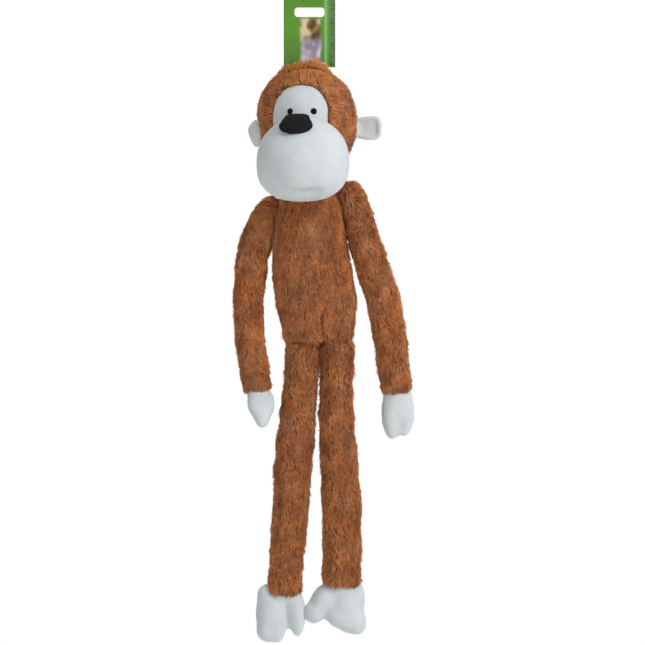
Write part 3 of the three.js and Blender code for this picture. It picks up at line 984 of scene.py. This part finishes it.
def eyes():
    """Satin-stitched eyes: threads side by side over a small dome on the face."""
    radius, thread, apart, height = 3.2 * mm, 0.42 * mm, 24.4 * mm, 5.8 * mm
    bends, count = 9, int(2 * radius / (thread * 0.9))
    for side, sign in (("left", 1), ("right", -1)):
        x, z = sign * apart / 2, height
        across, up = x / head_radii[0], z / head_radii[2]
        y = -head_radii[1] * sqrt(1 - across**2 - up**2) + 0.6 * mm
        centre = on_head(np.array([x, y, z]))
        strands = []
        for i in range(count):
            x = -radius + (i + 0.5) * 2 * radius / count
            reach = sqrt(max(radius**2 - x**2, 0)) + 0.15 * mm
            z = np.linspace(-reach, reach, bends)
            dome = 2.6 * mm * np.sqrt(np.clip(1 - (x**2 + z**2) / (radius * 1.15) ** 2, 0, 1))
            route = np.stack([np.full(bends, x), 1.1 * mm - dome, z], axis=1) + centre
            strands.append(tube("thread", route, np.full(bends, thread / 2 * 1.15), sides=6))
        made = joined(f"eye_stitching_{side}", strands)
        dress(made, black_cloth)
        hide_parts(f"eye_{side}")
        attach(made, "head")


def ear(side, heading, droop=0.0, roll=0.0, raised=0.0):
    """A cupped ear of two layers, turned from +X by its heading, which hangs by droop and twists by roll."""
    middle = 9.5 * mm
    upper = [(13.1, 0), (11.9, 8.6), (7.0, 12.3), (-1.0, 12.4), (-9.5, 11.0), (-16.5, 8.0)]
    outline = drawn_outline(np.array([*upper, *[(x, -z) for x, z in upper[:0:-1]]]) * mm)

    def front(share, angles):
        """Hollow in the middle, with a raised rim."""
        hollow = 1.3 * mm * (1 - share**2)
        rim = -1.7 * mm * np.exp(-((share - 0.82) / 0.2) ** 2)
        return hollow + rim * (1 - share**12) - 0.9 * mm * share**6 + 0 * angles

    def back(share, angles):
        """Domed, down to the edge."""
        return -0.9 * mm + 5.4 * mm * np.sqrt(np.clip(1 - share**2, 0, 1)) + 0 * angles

    made = pad(f"ear_skin_{side}", outline, front, back)
    points = turned(points_of(made) + np.array([middle, 0, raised]), roll, "X")
    points = turned(points, droop, "Y")
    set_points(made, turned(points, heading) + pivots[f"ear_{side}_flop"])
    finer(made)
    puffed(made, 0.8 * mm)
    lumpy(made, 9 * mm, 0.5 * mm, 6)
    dress(made, white_cloth)
    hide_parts(f"ear_{side}")
    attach(made, f"ear_{side}")


# ---- Torso ----


def torso():
    """The body from inside the neck to the crotch, as one skin with side seams and a short middle seam."""
    neck = pivots["neck_bend"]
    axis = turned([0, 0, -1], -torso_tilt, "Y")
    # Down the axis from the neck: the distance, the half width and how far the middle lies to the side.
    knots = np.array([
        [-31, 0.5, 0], [-30, 9, 0], [-26, 15, 0], [-15, 17.5, 0], [-5, 19.5, 0], [3, 24.5, 0],
        [10, 30.5, 0], [20, 34, 0], [45, 37.2, -1.8], [75, 39.6, -2.8], [105, 41.0, -1.8],
        [122, 40.8, -0.3], [136, 38.6, 0.3], [147, 36.2, 0.4], [154, 33.0, 0.6],
        [159.5, 26, 0.4], [162.6, 16, 0], [163.6, 0.5, 0],
    ]) * mm
    profile = through(knots, 88)
    centres = neck + axis * profile[:, :1] + sideways * profile[:, 2:] + np.array([0, 1.0 * mm, 0])
    skin = tube("torso_skin", centres, np.maximum(profile[:, 1], 0.3 * mm), sides=56, depth=torso_depth)
    puffed(skin, 0.8 * mm)
    lumpy(skin, 24 * mm, 1.6 * mm, 7)
    middle = neck + axis * 150 * mm

    def crotch(points):
        """The distance from the short seam in front, between the tops of the legs."""
        beside = points[:, 0] - middle[0] - 3.5 * mm
        outside = (points[:, 2] > middle[2] + 22 * mm) | (points[:, 1] > middle[1])
        return np.where(outside, 1.0, beside)

    groove(skin, crotch, 6 * mm, 5.0 * mm)
    dress(skin, backing)
    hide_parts("torso_front", "torso_back")

    def length(points):
        """Longer at the bottom, where the fur hangs over the tops of the legs."""
        low = np.clip((middle[2] + 12 * mm - points[:, 2]) / (12 * mm), 0, 1)
        return (8.5 + 3.5 * low) * mm

    def flow(points):
        """Straight down."""
        return np.tile(down, (len(points), 1))

    for side, sign in (("front", -1), ("back", 1)):
        def half(points):
            """This side of the side seams, clear of the middle seam."""
            return ((points[:, 1] - centres[0, 1]) * sign > 0) & (np.abs(crotch(points)) > 1.9 * mm)

        made = pile(f"torso_fur_{side}", skin, 18500, length, flow, 41 + sign, weight=half)
        dress(made, fur)
        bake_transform(made)
    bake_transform(skin)


# ---- Limbs ----


def limb_line(places, count, softness):
    """Evenly spaced points along straight stretches with rounded corners."""
    places = np.asarray(places)
    lengths = np.linalg.norm(np.diff(places, axis=0), axis=1)
    reached = np.concatenate([[0], np.cumsum(lengths)])
    steps = np.linspace(0, reached[-1], count)
    line = np.stack([np.interp(steps, reached, places[:, i]) for i in range(3)], axis=1)
    spread = max(int(softness / (steps[1] - steps[0])), 1)
    kernel = np.hanning(2 * spread + 3)[1:-1]
    kernel /= kernel.sum()
    longer = np.pad(line, ((spread, spread), (0, 0)), "reflect", reflect_type="odd")
    smooth = np.stack([np.convolve(longer[:, i], kernel, "valid") for i in range(3)], axis=1)
    return smooth, steps


def sleeve(limb, side, joints, start, bows, end, radii, cap, nodes, count, seed):
    """A fur sleeve down a whole limb, from its start places past its last joint, that bends in the middle."""
    upper, lower = unit(joints[1] - joints[0]), unit(joints[2] - joints[1])
    upper_middle, lower_middle = (joints[0] + joints[1]) / 2, (joints[1] + joints[2]) / 2
    places = [
        *start, upper_middle + sideways * bows[0] * mm, joints[1],
        lower_middle + sideways * bows[1] * mm, joints[2] + lower * end,
    ]
    rings, softness, end_cap = 84, 15 * mm, 5 * mm
    line, steps = limb_line(places, rings, softness)
    radius = np.interp(steps / steps[-1], np.linspace(0, 1, len(radii)), np.array(radii) * mm)

    def closing(distance, length):
        """The share of the radius that is left near an end, which closes over the length."""
        return np.sqrt(1 - (1 - np.clip(distance / length, 0.02, 1)) ** 2)

    radius = radius * closing(steps, cap) * closing(steps[-1] - steps, end_cap)
    skin = tube(f"{limb}_{side}_skin", line, radius)
    puffed(skin, 0.6 * mm)
    lumpy(skin, 17 * mm, 1.3 * mm, seed)
    dress(skin, backing)
    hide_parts(*(f"{node}_{side}" for node in nodes))
    tangents = unit(np.gradient(line, axis=0))

    def flow(points):
        """Along the limb, spreading a little away from its middle line."""
        def at(values):
            """The values along the line, taken at the points' heights."""
            return np.stack([np.interp(-points[:, 2], -line[:, 2], values[:, i]) for i in range(3)], axis=1)
        return at(tangents) + (points - at(line)) * 6

    locks = pile(f"{limb}_{side}_fur", skin, count, 8.5 * mm, flow, seed)
    dress(locks, fur)
    for piece in (skin, locks):
        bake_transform(piece)


def arm(side, root, bows, end, radii):
    """An arm from its root inside the shoulder to the wrist, which bows sideways in each half."""
    joints = [pivots[f"{joint}_{side}"] for joint in ("shoulder", "elbow", "wrist")]
    start = [joints[0] + np.array(root) * mm, joints[0] + unit(joints[1] - joints[0]) * 8 * mm]
    sleeve("arm", side, joints, start, bows, end * mm, radii, cap=9 * mm,
           nodes=("upper_sleeve", "lower_sleeve"),
           count=17500, seed=51 if side == "left" else 52)


def leg(side, bows, radii):
    """A leg from inside the torso to the ankle, which bows sideways in each half."""
    joints = [pivots[f"{joint}_{side}"] for joint in ("hip", "knee", "ankle")]
    start = [joints[0] - unit(joints[1] - joints[0]) * 22 * mm]
    sleeve("leg", side, joints, start, bows, 2 * mm, radii, cap=13 * mm,
           nodes=("thigh_sleeve", "shin_sleeve"),
           count=19500, seed=61 if side == "left" else 62)


def white_end(name, side, joint, balls, forward, turn, seed):
    """A hand or foot: balls joined into one puffed cloth skin, with its stuffing, hanging from its joint."""
    pivot = pivots[f"{joint}_{side}"]

    def form(label, inset, smoothing):
        """The balls melted into one skin, each smaller by the inset."""
        blobs = [ellipsoid(np.array(centre) * mm, np.array(radii) * mm - inset, radians(lean))
                 for centre, radii, lean in balls]
        made = joined(label, blobs)
        one_skin(made, 2.6 * mm, smoothing)
        points = turned(points_of(made), radians(turn), "Z")
        set_points(made, turned(points, -radians(forward), "X") + pivot)
        faces_out(made)
        return made

    skin = form(f"{name}_skin_{side}", 0, 12)
    puffed(skin, 1.2 * mm)
    finer(skin)
    lumpy(skin, 13 * mm, 0.7 * mm, seed)
    dress(skin, white_cloth)
    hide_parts(f"{name}_{side}")
    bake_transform(skin)

    fibre = form(f"{name}_fibre_{side}", 3.4 * mm, 8)
    lumpy(fibre, 7 * mm, 0.6 * mm, seed)
    dress(fibre, fibres)
    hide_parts(f"{name}_stuffing_{side}")
    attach(fibre, f"{name}_{side}")


def hands():
    """Mittens, from balls given by centre, radii and lean, in millimetres and degrees from the wrist."""
    left = [((1, 0, -6), (16.5, 10, 12), 0), ((-4, 0, -25), (13.0, 9.8, 28.5), 0),
            ((8.5, -1, -24), (10.8, 9.0, 26.5), -1)]
    right = [((0, 0, -2), (13.5, 10, 12), 0), ((1, 0, -17), (13.5, 9.5, 19), 0),
             ((5.5, 0, -32), (8.5, 8, 15), 0), ((11, -4, -17), (6.5, 7.0, 20), 4)]
    for side, balls, forward, turn in (("left", left, 0, 0), ("right", right, 36, 30)):
        white_end("hand", side, "wrist", balls, forward, turn, 71)


def feet():
    """Feet with a big toe, from balls given as for the hands."""
    left = [((0, 0, 0), (15, 13, 13), 0), ((6, 0, -23), (20, 12.8, 25), -6),
            ((15.5, -1, -39.5), (11.5, 11, 15), 0), ((-4, -1, -32), (14, 11, 15.5), 0),
            ((6, -1, -37), (12, 11, 15.5), 0), ((15, 0, -15), (11, 11, 20), 0),
            ((-17.5, -1, -15.5), (15.5, 11, 22), 36), ((-29.5, -1, -29.5), (12.6, 10.5, 12.8), 0)]
    right = [((0, 0, 0), (15, 13, 13), 0), ((-14, 0, -22), (17, 12.8, 30), 0),
             ((-18, -1, -37), (12.5, 11, 15.5), 0), ((-9, -1, -38), (11, 11, 15.5), 0),
             ((-18, 1, -3), (12.5, 11, 14), 0), ((13, -1, -20), (10.2, 10, 27.5), -4)]
    for side, balls in (("left", left), ("right", right)):
        white_end("foot", side, "ankle", balls, 2, 0, 81)


camera()
floor()
studio()
hard_parts()
stuffing()
hood()
face_panel()
muzzle()
nose()
eyes()
ear("left", head_turn)
ear("right", radians(107), radians(24), radians(-14), 4 * mm)
torso()
arm("left", (-11, 0, 14), (-2.5, 1.5), 3, [12, 13.4, 15.0, 15.6, 16.0, 16.2, 15.8, 15.2, 14.6])
arm("right", (14, 0, 5), (-4.5, -2.5), 0, [8, 12.6, 15.2, 15.2, 14.3, 14.0, 14.0, 13.9, 13.6])
leg("left", (-3, 1.5), [15.6, 16.2, 16.0, 17.0, 18.2, 19.0, 19.2, 19.0, 18.7])
leg("right", (0, 0), [16.8, 16.6, 16.6, 18.0, 18.2, 17.4, 16.8, 16.5, 16.2])
hands()
feet()
